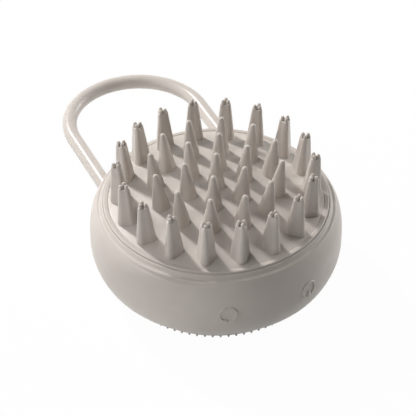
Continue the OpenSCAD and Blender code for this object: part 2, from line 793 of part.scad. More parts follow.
module board_chips()
    color([0.1, 0.1, 0.1]) for (c = [[-5, -6, 7, 7, 1], [8, -3, 4, 4, 0.9], [-14, 4, 3, 3, 0.9],
                                     [12, 6, 3, 2, 1.2], [4, 8, 3, 3, 1]])
        translate([c[0] - c[2] / 2, c[1] - c[3] / 2, board_top]) cube([c[2], c[3], c[4]]);

// Socket boxes: centre x, centre y, length, width, height
battery_socket = [board_l / 2 - socket_inset, -7, 5, 6, 3.5];
motor_socket = [socket_inset - board_l / 2, 3, 5, 6, 3.5];
key_socket = [0, socket_inset - inner_shift - board_w / 2, 10, 4, 3];
charge_socket = [0, board_w / 2 - inner_shift - socket_inset - 0.5, 8, 4, 3];
module wire_sockets()
    color([0.9, 0.88, 0.82]) for (s = [battery_socket, motor_socket, key_socket, charge_socket])
        translate([s[0] - s[2] / 2, s[1] - s[3] / 2, board_top]) cube([s[2], s[3], s[4]]);

module board_screws()
    color(steel) for (x = [-post_x, post_x], y = [-post_y, post_y])
        translate([x, y - inner_shift, board_top + screw_head_h]) mirror([0, 0, 1]) screw(board_screw_l);

// ---- motor ----
module along_motor(x) translate([x, 0, motor_z]) rotate([0, 90, 0]) children();

module motor_can()
    color(steel) along_motor(motor_x0) difference() {
        cylinder(r = motor_r, h = motor_l - end_cap_t);
        translate([0, 0, can_end_t]) cylinder(r = motor_r - can_wall, h = motor_l);
    }

module motor_end_cap()
    color([0.9, 0.88, 0.82]) along_motor(motor_x1 - end_cap_t) difference() {
        union() {
            cylinder(r = motor_r, h = end_cap_t);
            translate([0, 0, end_cap_t - bearing_l]) cylinder(r = shaft_r + hub_wall, h = bearing_l);
        }
        translate([0, 0, -bearing_l]) cylinder(r = shaft_r + shaft_gap, h = 3 * bearing_l);
    }

module motor_magnets()
    color([0.25, 0.25, 0.27]) along_motor(rotor_x) difference() {
        cylinder(r = motor_r - can_wall, h = rotor_l);
        translate([0, 0, -1]) cylinder(r = motor_r - can_wall - magnet_arc_t, h = motor_l);
        translate([-motor_r, -magnet_slot / 2, -1]) cube([2 * motor_r, magnet_slot, motor_l]);
    }

module motor_shaft()
    color(steel) along_motor(shaft_x) cylinder(r = shaft_r, h = weight_x + weight_l + shaft_tip - shaft_x);

module motor_armature()
    color([0.72, 0.45, 0.2]) along_motor(rotor_x + armature_inset) difference() {
        cylinder(r = armature_r, h = rotor_l - 2 * armature_inset);
        translate([0, 0, -1]) cylinder(r = shaft_r, h = motor_l);
    }

module eccentric_weight()
    color([0.5, 0.48, 0.45]) along_motor(weight_x) difference() {
        union() {
            intersection() {
                cylinder(r = weight_r, h = weight_l);
                translate([0, -weight_r, -1]) cube([weight_r, 2 * weight_r, weight_l + 2]);
            }
            cylinder(r = shaft_r + hub_wall, h = weight_l);
        }
        translate([0, 0, -1]) cylinder(r = shaft_r, h = weight_l + 2);
    }

module strap_holes()
    for (y = [-strap_screw_y, strap_screw_y]) translate([cradle_x0 + cradle_l / 2, y, motor_z]) children();

module motor_bracket()
    color(steel) difference() {
        union() {
            intersection() {
                along_motor(cradle_x0) cylinder(r = motor_r + strap_wall, h = cradle_l);
                translate([cradle_x0, -20, motor_z - 20]) cube([cradle_l, 40, 20]);
            }
            translate([cradle_x0, -cradle_w / 2, motor_z - strap_ear_t])
                cube([cradle_l, cradle_w, strap_ear_t]);
        }
        along_motor(cradle_x0 - 1) cylinder(r = motor_r, h = cradle_l + 2);
        strap_holes() translate([0, 0, -5]) cylinder(r = screw_pass_r, h = 10);
    }

module bracket_screws()
    color(steel) strap_holes() translate([0, 0, -strap_ear_t - screw_head_h])
        screw(strap_ear_t + strap_screw_l);

// ---- charging port ----
module charge_port()
    color(hard_greige) difference() {
        intersection() {
            on_wall(90, split_z) {
                translate([0, 0, port_y0]) cylinder(d = port_d, h = body_r);
                translate([0, 0, port_flange_y]) cylinder(r = port_flange_r, h = port_flange_t);
            }
            layer_solid(0, split_z - port_d, split_z + port_d);
        }
        on_wall(90, split_z) {
            for (x = [-contact_pitch / 2, contact_pitch / 2])
                translate([x, 0, 0]) cylinder(d = contact_d, h = 60);
            for (y = [-magnet_z, magnet_z])
                translate([0, y, 0]) cylinder(d = magnet_d, h = port_y0 + magnet_l);
        }
    }

module charge_pins()
    color([0.83, 0.68, 0.35]) intersection() {
        on_wall(90, split_z) for (x = [-contact_pitch / 2, contact_pitch / 2])
            translate([x, 0, port_y0 - pin_tail]) cylinder(d = contact_d, h = body_r);
        layer_solid(0, split_z - port_d, split_z + port_d);
    }

module charge_magnets()
    color(steel) on_wall(90, split_z) for (y = [-magnet_z, magnet_z])
        translate([0, y, port_y0]) cylinder(d = magnet_d, h = magnet_l);

// ---- wires ----
// Point in a wall: x along the wall, y up, z straight out from the body's axis
function wall_point(az, x, y, z) = [z * cos(az) - x * sin(az), z * sin(az) + x * cos(az), y];

battery_mid_z = battery_z + battery_t / 2;
module battery_leads()
    color([0.7, 0.15, 0.12]) for (side = [-0.6, 0.4]) let (y = battery_socket[1] + side * lead_pitch)
        wire([[battery_l / 2, y, battery_mid_z], [battery_l / 2 + lead_run + 1, y, battery_mid_z],
              [board_l / 2 + 0.4, y, battery_mid_z + 1.5], [board_l / 2 + 1, y, board_z],
              [board_l / 2 + 0.6, y, board_top + 1], [board_l / 2 - 0.6, y, board_top + socket_entry_h],
              [battery_socket[0] + battery_socket[2] / 2, y, board_top + socket_entry_h]]);

module motor_leads()
    color([0.15, 0.3, 0.6]) for (side = [-1, 1]) let (y = side * lead_pitch, end_y = motor_socket[1] + y,
                                                      end_z = board_top + motor_socket[4])
        wire([[motor_x0, y, motor_z - 2], [motor_x0 - lead_run, y, motor_z - 2],
              [motor_x0 - 2.5 * lead_run, y + 1.5, motor_z - 4],
              [motor_socket[0] + 0.6, end_y, motor_z - 6],
              [motor_socket[0], end_y, end_z + 1.2], [motor_socket[0], end_y, end_z]]);

module key_leads()
    color([0.85, 0.8, 0.3]) mirrored_x() for (s = [0, 1.4])
        let (x = 4 - s, y = key_socket[1] - key_socket[3] / 2, z = board_top + socket_entry_h - 0.2)
            wire([wall_point(power_az, 0.8 - 0.4 * s, key_z - 1.8 + s, board_in),
                  wall_point(power_az, 0.8 - 0.4 * s, key_z - 1.8 + s, board_in - lead_run),
                  [x + 4, y - 7.5, z + 1 + 0.6 * s], [x + 2.5, y - 4, z + 0.8 + 0.4 * s],
                  [x, y - 1.3, z], [x, y, z]]);

module charge_leads()
    color([0.7, 0.15, 0.12]) mirrored_x()
        let (x = contact_pitch / 2, y = charge_socket[1] + charge_socket[3] / 2,
             z = board_top + socket_entry_h - 0.2, top = port_y0 - pin_tail)
            wire([[x, top, split_z], [x, top - 0.8, split_z], [x + 2, top - 2.4, split_z - 0.4],
                  [x + 2.4, y + 12, split_z - 0.4], [x + 0.4, y + 5, z + 0.2],
                  [x - 0.4, y + 2, z], [x - 0.4, y, z]]);

soft_jacket();
upper_shell();
lower_shell();
shell_screws();
grip_pad();
brush_pad();
massage_cones();
forked_prongs();
brush_carrier();
carrier_seal();
carrier_screws();
hang_loop();
mode_key();
mode_plunger();
mode_switch_cap();
mode_switch();
mode_board();
power_key();
power_plunger();
power_switch_cap();
power_switch();
power_board();
main_board();
board_chips();
wire_sockets();
board_screws();
battery();
battery_foam();
motor_can();
motor_end_cap();
motor_magnets();
motor_shaft();
motor_armature();
eccentric_weight();
motor_bracket();
bracket_screws();
charge_port();
charge_pins();
charge_magnets();
battery_leads();
motor_leads();
key_leads();
charge_leads();
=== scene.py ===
# %% [markdown]
# # An electric scalp massager, dressed around its CAD frame
#
# The massager is a palm-sized round body in a soft silicone jacket. On top it carries a domed pad
# of pointed cones and forked prongs, two raised icons mark the keys in its front wall, and a soft
# loop comes out of its back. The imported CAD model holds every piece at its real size. This lesson
# gives the pieces that show a finer skin, and every other piece its finish.
#
# Every shape here is a surface worked out with numpy: a grid of points from a formula, turned
# into a mesh in one go. Shapes could also be modelled by hand with bmesh or with modifiers, but a
# formula keeps each size in one named place and can be read like a drawing.

import json
import math

import bpy
import numpy as np
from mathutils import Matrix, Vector

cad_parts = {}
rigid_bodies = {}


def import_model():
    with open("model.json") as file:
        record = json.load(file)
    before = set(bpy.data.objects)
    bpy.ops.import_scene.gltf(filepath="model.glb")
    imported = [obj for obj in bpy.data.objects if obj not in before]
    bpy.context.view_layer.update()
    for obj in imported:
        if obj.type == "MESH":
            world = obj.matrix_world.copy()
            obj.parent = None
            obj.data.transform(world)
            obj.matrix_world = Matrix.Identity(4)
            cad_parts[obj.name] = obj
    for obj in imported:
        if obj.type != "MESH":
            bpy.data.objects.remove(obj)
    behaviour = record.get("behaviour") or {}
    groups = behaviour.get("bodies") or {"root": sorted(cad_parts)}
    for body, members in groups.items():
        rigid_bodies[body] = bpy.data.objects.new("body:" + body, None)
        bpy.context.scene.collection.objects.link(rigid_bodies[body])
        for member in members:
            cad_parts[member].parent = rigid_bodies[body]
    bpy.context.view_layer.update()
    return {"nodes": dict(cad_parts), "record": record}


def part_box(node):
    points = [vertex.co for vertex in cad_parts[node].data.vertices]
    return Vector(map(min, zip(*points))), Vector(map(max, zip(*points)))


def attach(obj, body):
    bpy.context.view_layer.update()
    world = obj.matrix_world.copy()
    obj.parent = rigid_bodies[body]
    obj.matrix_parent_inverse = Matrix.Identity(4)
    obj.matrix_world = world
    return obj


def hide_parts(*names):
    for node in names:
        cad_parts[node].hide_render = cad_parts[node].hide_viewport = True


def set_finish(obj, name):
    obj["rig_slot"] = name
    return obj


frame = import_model()
MM = 0.001

# %% [markdown]
# ## The camera
#
# The photograph was taken from above the front left, with a long lens, so the object's sides
# hardly converge. A long lens could be copied by eye, but here its length, place and tilt are
# worked out as numbers and set directly: where it stands round the object's axis, how high, and
# how far it looks down.

# %% Camera
CAMERA_AZIMUTH = -115.4
CAMERA_REACH = 447.2
CAMERA_HEIGHT = 404.75
CAMERA_PITCH = 40.11
CAMERA_TURN = -25.05
LENS_MM = 149.2
SENSOR_MM = 36.0


def add_camera():
    """Stands the camera on a circle round the object's axis and tips it down by its pitch."""
    data = bpy.data.cameras.new("camera")
    data.lens = LENS_MM
    data.sensor_width = SENSOR_MM
    data.clip_start = 0.01
    camera = bpy.data.objects.new("camera", data)
    bpy.context.scene.collection.objects.link(camera)
    turn = math.radians(CAMERA_AZIMUTH)
    camera.location = (MM * CAMERA_REACH * math.cos(turn), MM * CAMERA_REACH * math.sin(turn),
                       MM * CAMERA_HEIGHT)
    camera.rotation_euler = (math.radians(90 - CAMERA_PITCH), 0, math.radians(CAMERA_TURN))
    bpy.context.scene.camera = camera
    return camera


camera = add_camera()
print("camera at", [round(v, 3) for v in camera.location])

# %% [markdown]
# ## From grids of points to meshes
#
# A surface is a grid: rows of points along one direction, columns along the other. Four
# neighbouring points make a face. Where a whole row falls on one point, as at the tip of a cone,
# the faces there become triangles, and where two grids meet, their shared points become one. All
# of it is done on whole arrays, so a mesh of fifty thousand faces takes a moment.

# %% Mesh helpers
WELD = 1e-4           # millimetres within which two points become one
OFF_ROUND = 0.137     # share of WELD that keeps round sizes off the border between two numbers
CREASE = 38           # degrees past which an edge stays sharp


def grid_cells(rows, columns, wrap):
    """Corner numbers of every cell: (i, j), (i, j+1), (i+1, j+1), (i+1, j); wrap joins the last
    column to the first."""
    index = np.arange(rows * columns).reshape(rows, columns)
    nxt = np.roll(index, -1, axis=1)
    if not wrap:
        index, nxt = index[:, :-1], nxt[:, :-1]
    return np.stack([index[:-1], nxt[:-1], nxt[1:], index[1:]], axis=-1)


def weld(points, cells):
    """Gives points closer than WELD one number, and drops the corners and cells that vanish."""
    keys = np.round(points / WELD + OFF_ROUND).astype(np.int64)
    _, first, number = np.unique(keys, axis=0, return_index=True, return_inverse=True)
    cells = number.reshape(-1)[cells]
    keep = cells != np.roll(cells, -1, axis=1)
    sides = keep.sum(axis=1)
    keep[sides < 3] = False
    return points[first], cells[keep], sides[sides >= 3]


def open_edges(loops, sides):
    """Number of edges that don't have exactly two faces: none on a closed surface."""
    start = np.repeat(np.cumsum(sides) - sides, sides)
    step = np.arange(len(loops)) - start
    following = loops[start + (step + 1) % np.repeat(sides, sides)]
    pairs = np.sort(np.stack([loops, following], axis=1), axis=1)
    return int((np.unique(pairs, axis=0, return_counts=True)[1] != 2).sum())


def signed_volume(points, loops, sides):
    """Sum of the tetrahedra from the origin to a fan of triangles in each face: positive when
    the faces point outwards."""
    start = np.repeat(np.cumsum(sides) - sides, sides)
    step = np.arange(len(loops)) - start
    fan = (step > 0) & (step < np.repeat(sides, sides) - 1)
    a, b = points[loops[start[fan]]], points[loops[fan]]
    c = points[loops[np.nonzero(fan)[0] + 1]]
    return float(np.einsum("ij,ij->i", a, np.cross(b, c)).sum() / 6)


def make_piece(name, grids, body, replaces, slot):
    """Makes one object from a list of (points, wrap) or (points, wrap, kept cells) grids in
    millimetres, welds them, checks that they close and lets the piece ride on its body in place
    of the CAD nodes that it replaces."""
    points, cells, count = [], [], 0
    for grid in grids:
        shape = grid[0].shape
        squares = grid_cells(shape[0], shape[1], grid[1])
        squares = squares[grid[2]] if len(grid) > 2 else squares.reshape(-1, 4)
        points.append(grid[0].reshape(-1, 3))
        cells.append(squares + count)
        count += shape[0] * shape[1]
    points, loops, sides = weld(np.concatenate(points), np.concatenate(cells))
    volume = signed_volume(points, loops, sides)
    mesh = bpy.data.meshes.new(name)
    mesh.vertices.add(len(points))
    mesh.vertices.foreach_set("co", (points * MM).astype(np.float32).ravel())
    mesh.loops.add(len(loops))
    mesh.loops.foreach_set("vertex_index", loops.astype(np.int32))
    mesh.polygons.add(len(sides))
    mesh.polygons.foreach_set("loop_start", (np.cumsum(sides) - sides).astype(np.int32))
    mesh.update(calc_edges=True)
    if volume < 0:
        mesh.flip_normals()
    mesh.shade_smooth()
    mesh.set_sharp_from_angle(angle=math.radians(CREASE))
    piece = bpy.data.objects.new(name, mesh)
    bpy.context.scene.collection.objects.link(piece)
    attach(piece, body)
    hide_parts(*replaces)
    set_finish(piece, slot)
    print(f"{name}: {len(sides)} faces, {abs(volume):.0f} mm3, {open_edges(loops, sides)} open edges")


def lathe(profile, columns):
    """Turns a list of (radius, height) points round Z: each point becomes a circle."""
    profile = np.asarray(profile, float)
    turn = np.linspace(0, 2 * np.pi, columns, endpoint=False)
    radius, height = profile[:, :1], profile[:, 1:]
    return np.stack([radius * np.cos(turn), radius * np.sin(turn), height + 0 * turn], axis=-1)


def arc(cx, cy, radius, start, end, steps):
    """Points along a circle's arc from start to end, in degrees."""
    turn = np.radians(np.linspace(start, end, steps + 1))
    return np.stack([cx + radius * np.cos(turn), cy + radius * np.sin(turn)], axis=1)


MOST_OF_SIDE = 0.49   # share of a side that a softened corner may take
SOFT_STEPS = 5


def soften(corners, reach):
    """Replaces each inner corner of a polyline by a curve that starts and ends "reach" away from
    it and leans on it: (1-t)^2 * before + 2t(1-t) * corner + t^2 * after."""
    corners = np.asarray(corners, float)
    reach = np.broadcast_to(reach, len(corners))
    t = np.linspace(0, 1, SOFT_STEPS + 1)[:, None]
    line = [corners[:1]]
    for before, corner, after, size in zip(corners[:-2], corners[1:-1], corners[2:], reach[1:-1]):
        back, ahead = before - corner, after - corner
        p = corner + back * min(MOST_OF_SIDE, size / np.linalg.norm(back))
        q = corner + ahead * min(MOST_OF_SIDE, size / np.linalg.norm(ahead))
        line.append((1 - t) ** 2 * p + 2 * t * (1 - t) * corner + t ** 2 * q)
    line.append(corners[-1:])
    return np.concatenate(line)


# %% [markdown]
# ## The body's curve
#
# The jacket's outline bulges most a little below half height, closes fast underneath and stays
# full up to the shoulder. An ellipse is too thin at the shoulder, so each half is a
# superellipse: the same formula, with an exponent that sets how full the curve is. Near the
# bottom a straight taper cuts the curve off, and the two are blended over a millimetre or so.

# %% Body curve
body_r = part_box("soft_jacket")[1].x / MM
base_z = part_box("soft_jacket")[0].z / MM
BELLY_Z = 17
UNDER_DEPTH, UNDER_FULLNESS = 28.45, 1.88
OVER_HEIGHT, OVER_FULLNESS = 25.3, 3.57
FOOT_R, FOOT_SLOPE, FOOT_BLEND = 34.4, 1.15, 1.2
JACKET_WALL = 1.2
SPLIT_Z = 18
RIM_Z = 32.3


def curve_r(z):
    """Radius at height z: body_r * (1 - (distance from the belly / reach) ** fullness) ** 0.5, or
    the foot's taper where that is less. Where the two differ by less than the blend, the smaller
    one drops by blend / 4 * (1 - difference / blend) ** 2."""
    z = np.asarray(z, float)
    low = z < BELLY_Z
    reach = np.where(low, UNDER_DEPTH, OVER_HEIGHT)
    fullness = np.where(low, UNDER_FULLNESS, OVER_FULLNESS)
    bulge = body_r * np.sqrt(np.clip(1 - (np.abs(z - BELLY_Z) / reach) ** fullness, 0, None))
    taper = FOOT_R + (z - base_z) * FOOT_SLOPE
    near = np.clip(FOOT_BLEND - np.abs(bulge - taper), 0, None) / FOOT_BLEND
    return np.where(low, np.minimum(bulge, taper) - near ** 2 * FOOT_BLEND / 4, bulge)


def layer(s, depth):
    """Radius and height of the point "depth" under the curve's point at height s, measured
    square to the curve."""
    step = 0.01
    slope = (curve_r(s + step) - curve_r(s - step)) / (2 * step)
    length = np.sqrt(1 + slope ** 2)
    return curve_r(s) - depth / length, s + depth * slope / length


FINE_S = np.linspace(base_z - 2, RIM_Z, 1200)


def layer_r(z, depth):
    """Radius of the layer at height z, read off a fine table of the layer."""
    radius, height = layer(FINE_S, depth)
    return np.interp(z, height, radius)


def layer_s(z, depth):
    """Height on the outer curve whose layer point has height z."""
    return np.interp(z, layer(FINE_S, depth)[1], FINE_S)


print("body radius", round(body_r, 2), "radius at the base", round(float(curve_r(base_z)), 2))

# %% [markdown]
# ## The soft jacket
#
# The jacket is one moulding of silicone with five round holes: two for the keys, two for the
# loop's legs and one for the charging port. A sloping rim stands round its mouth on a narrow
# ledge, and a short shallow dent lies under the ledge on the front left. Cutting holes with a
# Boolean modifier leaves long thin faces that catch the light. Here each hole gets a patch of
# its own instead: a square window is left out of the grid, and rings of points run from the
# window's edge to the hole's, through the wall and back out to the window in the inner face.

# %% Jacket
COLUMNS = 360
ROWS = 44
SHOULDER_ROWS = 9            # rows close enough together to follow the dent
PATCH_RINGS, PATCH_EASE = 7, 0.8
WINDOW_MARGIN = 2.2
MOUTH_INSET = 1.15
RIM_TOP_W, RIM_TOP_ROUND, RIM_SOFT = 0.6, 0.08, 0.25
LEDGE_DROP, LEDGE_W, LEDGE_RISE = 1.4, 1.05, 0.05
LEDGE_EDGE_SOFT, LEDGE_ROOT_SOFT = 0.3, 0.45
DENT_DROP, DENT_DEEP, DENT_HALF = 2.2, 0.8, 0.75
DENT_AZIMUTH, DENT_REACH = -133, 14          # middle and half length, in degrees
LIP_H = 1.9
ROW_GAP = 0.1                # least space between two rows
SLIT = 0.02                  # gap round a key, too fine to see
KEY_AZIMUTHS = {"mode": -110, "power": -70}
KEY_Z, KEY_R = 18.8, 4.8
LEG_X, LEG_R, LEG_GAP = 25.1, 2.65, 0.08
PORT_R, PORT_GAP = 6.0, 0.05
mouth_r = float(curve_r(RIM_Z)) - MOUTH_INSET
lip_z = RIM_Z - LIP_H
ledge_z = RIM_Z - LEDGE_DROP
dent_z = RIM_Z - DENT_DROP


def hole_ring(azimuth, aside, z, radius, angle, depth):
    """Column angle and curve height of the points where a round hole, bored along a direction
    and set aside from the axis by so much, breaks through one layer of the wall."""
    u = aside + radius * np.cos(angle)
    v = z + radius * np.sin(angle)
    return math.radians(azimuth) + np.arcsin(u / layer_r(v, depth)), layer_s(v, depth)


def on_layer(turn, s, depth):
    """Points of a layer at column angles and curve heights."""
    radius, height = layer(s, depth)
    return np.stack([radius * np.cos(turn), radius * np.sin(turn), height], axis=-1)


def hole_patch(turns, stations, azimuth, aside, z, radius):
    """The window's cells in the grid, and the rings that line the hole: from the outer window to
    the hole, through the wall, and from the hole to the inner window."""
    reach = radius + WINDOW_MARGIN
    side = math.radians(azimuth) + np.arcsin((aside + np.array([-reach, reach])) / body_r)
    first = round(side[0] % (2 * np.pi) / turns[1])
    last = first + max(4, round((side[1] - side[0]) / turns[1]))
    low, high = np.searchsorted(stations, [z - reach, z + reach])
    column = np.arange(first, last + 1) * turns[1]
    across, up = column - 2 * np.pi * round(column[0] / (2 * np.pi)), stations[low:high + 1]
    edge = np.concatenate([np.stack([across[:-1], 0 * across[:-1] + up[0]], 1),
                           np.stack([0 * up[:-1] + across[-1], up[:-1]], 1),
                           np.stack([across[:0:-1], 0 * across[1:] + up[-1]], 1),
                           np.stack([0 * up[1:] + across[0], up[:0:-1]], 1)])
    middle = math.radians(azimuth) + math.asin(aside / body_r)
    middle -= 2 * np.pi * round((middle - edge[:, 0].mean()) / (2 * np.pi))
    angle = np.arctan2(edge[:, 1] - z, (edge[:, 0] - middle) * body_r)
    rings = []
    for depth in (0, JACKET_WALL):
        turn, s = hole_ring(azimuth, aside, z, radius, angle, depth)
        turn = turn - 2 * np.pi * np.round((turn - middle) / (2 * np.pi))
        mix = np.linspace(0, 1, PATCH_RINGS + 1)[:, None] ** PATCH_EASE
        rings.append(on_layer(edge[:, 0] * (1 - mix) + turn * mix,
                              edge[:, 1] * (1 - mix) + s * mix, depth))
    cells = (slice(low, high), np.arange(first, last) % COLUMNS)
    return cells, np.concatenate([rings[0], rings[1][::-1]])


def dented(grid):
    """Rows of the turned outer face, pulled in along a short shallow dent under the ledge: by
    its depth * cos(height across it) ** 2 * a bell curve of the azimuth."""
    radius = np.hypot(grid[..., 0], grid[..., 1])
    azimuth = np.degrees(np.arctan2(grid[..., 1], grid[..., 0]))
    across = np.clip((grid[..., 2] - dent_z) / DENT_HALF, -1, 1)
    along = np.exp(-((azimuth - DENT_AZIMUTH) / DENT_REACH) ** 2)
    share = 1 - DENT_DEEP * np.cos(across * np.pi / 2) ** 2 * along / radius
    return grid * np.stack([share, share, 1 + 0 * share], -1)


def jacket_grids():
    """The closed profile of the jacket turned round Z, less its windows, and the five patches."""
    stations = np.linspace(base_z, dent_z - DENT_HALF - ROW_GAP, ROWS)
    outer = np.stack([curve_r(stations), stations], 1)
    across = np.linspace(dent_z - DENT_HALF, ledge_z - LEDGE_EDGE_SOFT / 2, SHOULDER_ROWS)
    shoulder = np.stack([curve_r(across), across], 1)
    ledge_r = curve_r(ledge_z)
    rim = soften([shoulder[-1], (ledge_r, ledge_z), (ledge_r - LEDGE_W, ledge_z + LEDGE_RISE),
                  (mouth_r + RIM_TOP_W, RIM_Z), (mouth_r, RIM_Z), (mouth_r, lip_z)],
                 [0, LEDGE_EDGE_SOFT, LEDGE_ROOT_SOFT, RIM_SOFT, RIM_TOP_ROUND, 0])[1:]
    inner = np.stack(layer(stations, JACKET_WALL), 1)
    inner = inner[inner[:, 1] < lip_z - ROW_GAP]
    foot_r = layer_r(base_z, JACKET_WALL)
    profile = np.concatenate([outer, shoulder, rim, [(layer_r(lip_z, JACKET_WALL), lip_z)],
                              inner[::-1], [(foot_r, base_z)], outer[:1]])
    keep = np.ones((len(profile) - 1, COLUMNS), bool)
    turns = np.arange(COLUMNS) * 2 * np.pi / COLUMNS
    last_inner = len(profile) - 3
    holes = [(azimuth, 0, KEY_Z, KEY_R + SLIT) for azimuth in KEY_AZIMUTHS.values()]
    holes += [(90, side * LEG_X, SPLIT_Z, LEG_R + LEG_GAP) for side in (-1, 1)]
    holes += [(90, 0, SPLIT_Z, PORT_R + PORT_GAP)]
    patches = []
    for hole in holes:
        (rows, columns), rings = hole_patch(turns, stations, *hole)
        keep[rows.start:rows.stop, columns] = False
        keep[last_inner - rows.stop:last_inner - rows.start, columns] = False
        patches.append((rings, True))
    grid = lathe(profile, COLUMNS)
    grid[:ROWS + SHOULDER_ROWS] = dented(grid[:ROWS + SHOULDER_ROWS])
    return [(grid, True, keep)] + patches


make_piece("jacket_skin", jacket_grids(), "housing", ["soft_jacket"], "jacket_silicone")

# %% [markdown]
# ## The keys
#
# A key is the round patch of silicone that gives when its icon is pressed. Its face goes on with
# the jacket's curve, so only the raised icon shows. The icon could be a mesh of its own set on
# top, but its foot would cut the curve at a hard line. Here the face itself rises: each point
# asks how far it lies from the icon's strokes, and stands up softly where it is inside one.

# %% Keys
ICON_R, STROKE, ICON_RISE, SHOULDER = 2.9, 0.74, 0.36, 0.08
RING_GAP = 66                                 # degrees left open at the bottom of the ring
BAR_TOP, BAR_END = -0.95, -3.25
ARROW_START, ARROW_END = -70, 76              # degrees that one arrow's stroke runs from and to
ARROW_HEAD = [(-1.05, 60), (0.75, 58), (0.1, 93)]       # corners: distance from ICON_R, degrees
KEY_COLUMNS, BACK_ROWS, FACE_ROWS, FACE_EASE = 288, 6, 97, 0.85


def distance_to_arc(u, v, start, end):
    """Distance from (u, v) to an arc of radius ICON_R about the middle: across the arc within
    its angles, and to the nearer end outside them."""
    turn = (np.degrees(np.arctan2(v, u)) - start) % 360
    ends = [np.hypot(u - ICON_R * math.cos(math.radians(a)), v - ICON_R * math.sin(math.radians(a)))
            for a in (start, end)]
    return np.where(turn <= end - start, np.abs(np.hypot(u, v) - ICON_R), np.minimum(*ends))


def distance_to_line(u, v, a, b):
    """Distance from (u, v) to the straight stroke from a to b."""
    (ax, ay), (bx, by) = a, b
    along = (u - ax) * (bx - ax) + (v - ay) * (by - ay)
    t = np.clip(along / ((bx - ax) ** 2 + (by - ay) ** 2), 0, 1)
    return np.hypot(u - ax - t * (bx - ax), v - ay - t * (by - ay))


def power_icon(u, v):
    """Depth inside an open ring with a short bar in its gap, the gap at the bottom."""
    ring = distance_to_arc(u, v, (RING_GAP - 180) / 2, (540 - RING_GAP) / 2)
    bar = distance_to_line(u, v, (0, BAR_TOP), (0, BAR_END))
    return STROKE / 2 - np.minimum(ring, bar)


def mode_icon(u, v):
    """Depth inside two arcs that chase each other round, each with an arrow head at its end. The
    second is the first turned half way round."""
    depth = []
    for side in (1, -1):
        u2, v2 = side * u, side * v
        depth.append(STROKE / 2 - distance_to_arc(u2, v2, ARROW_START, ARROW_END))
        x = [(ICON_R + out) * math.cos(math.radians(a)) for out, a in ARROW_HEAD]
        y = [(ICON_R + out) * math.sin(math.radians(a)) for out, a in ARROW_HEAD]
        sides = [((x[k] - x[k - 1]) * (v2 - y[k - 1]) - (y[k] - y[k - 1]) * (u2 - x[k - 1]))
                 / math.hypot(x[k] - x[k - 1], y[k] - y[k - 1]) for k in range(3)]
        depth.append(np.minimum.reduce(sides))
    return np.maximum.reduce(depth)


def key_grid(azimuth, icon):
    """One closed surface: from the middle of the back out to the rim, up the side and in over the
    face, whose points stand out by a smooth step of their depth inside the icon."""
    turn = np.linspace(0, 2 * np.pi, KEY_COLUMNS, endpoint=False)
    back = np.linspace(0, KEY_R, BACK_ROWS)
    face = KEY_R * (1 - np.linspace(0, 1, FACE_ROWS)) ** FACE_EASE
    radius = np.concatenate([back, face])[:, None]
    depth = np.concatenate([np.full(BACK_ROWS, JACKET_WALL), np.zeros(FACE_ROWS)])[:, None]
    u, v = radius * np.cos(turn), radius * np.sin(turn)
    t = np.clip(icon(u, v) / SHOULDER + 0.5, 0, 1)
    rise = ICON_RISE * t * t * (3 - 2 * t) * (depth == 0)
    wall = np.where(depth == 0, layer_r(KEY_Z + v, 0), layer_r(KEY_Z + v, JACKET_WALL))
    out = np.sqrt(wall ** 2 - u ** 2) + rise
    a = math.radians(azimuth)
    return np.stack([out * math.cos(a) - u * math.sin(a),
                     out * math.sin(a) + u * math.cos(a), KEY_Z + v], -1)


for name, icon in (("mode", mode_icon), ("power", power_icon)):
    make_piece(f"{name}_key_face", [(key_grid(KEY_AZIMUTHS[name], icon), True)], f"{name}_button",
               [f"{name}_key"], "key_silicone")

# %% [markdown]
# ## The brush pad
#
# The pad is a shallow dome of silicone with a raised band round its edge, pressed into the
# jacket's mouth. Its outline is drawn once as a line from the middle of the underside out to the
# edge and back over the top, and turned round the axis. The fine groove inside the band catches
# the light as a bright line.

# %% Brush pad
PAD_GAP = 0.02
PAD_WALL = 2.0
PAD_EDGE_W = 1.68
EDGE_RISE, EDGE_FALL, EDGE_SIDE = 0.12, 0.02, 0.2
GROOVE_DEEP, GROOVE_W = 0.1, 0.3
DOME_R = 143.0
pad_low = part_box("brush_pad")[0].z / MM
crown_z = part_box("brush_pad")[1].z / MM
pad_r = mouth_r - PAD_GAP
field_r = pad_r - PAD_EDGE_W


def dome_z(r, depth=0):
    """Height of a ball of radius DOME_R - depth whose crown is the pad's crown less depth."""
    return crown_z - DOME_R + np.sqrt((DOME_R - depth) ** 2 - np.asarray(r, float) ** 2)


field_z = float(dome_z(field_r))


def pad_profile():
    """Underside, outer wall, raised band, groove and dome, from the axis out and back in."""
    under = np.linspace(0, field_r, 30)
    over = np.linspace(field_r - GROOVE_W - 0.2, 0, 60)
    groove_r = field_r - GROOVE_W
    edge = soften([(field_r, pad_low), (pad_r, pad_low), (pad_r, field_z + EDGE_RISE - EDGE_FALL),
                   (field_r + EDGE_SIDE, field_z + EDGE_RISE), (field_r + 0.02, field_z - GROOVE_DEEP),
                   (groove_r, dome_z(groove_r))], [0, 0.2, 0.4, 0.12, 0.05, 0.1])
    return np.concatenate([np.stack([under, dome_z(under, PAD_WALL)], 1), edge,
                           np.stack([over, dome_z(over)], 1)])


make_piece("pad_skin", [(lathe(pad_profile(), 300), True)], "housing", ["brush_pad"], "pad_silicone")

# %% [markdown]
# ## Cones and prongs
#
# The middle of the pad carries nineteen pointed cones, in a ring of six and one of twelve round
# the one in the centre. Eighteen forked prongs stand round the edge. All lean outwards a little.
# Each shape is worked out once, upright at the origin, and then stood on the dome as many times
# as it is needed by turning its whole array of points.

# %% Stand shapes on the pad
FOOT_SINK = 1.0


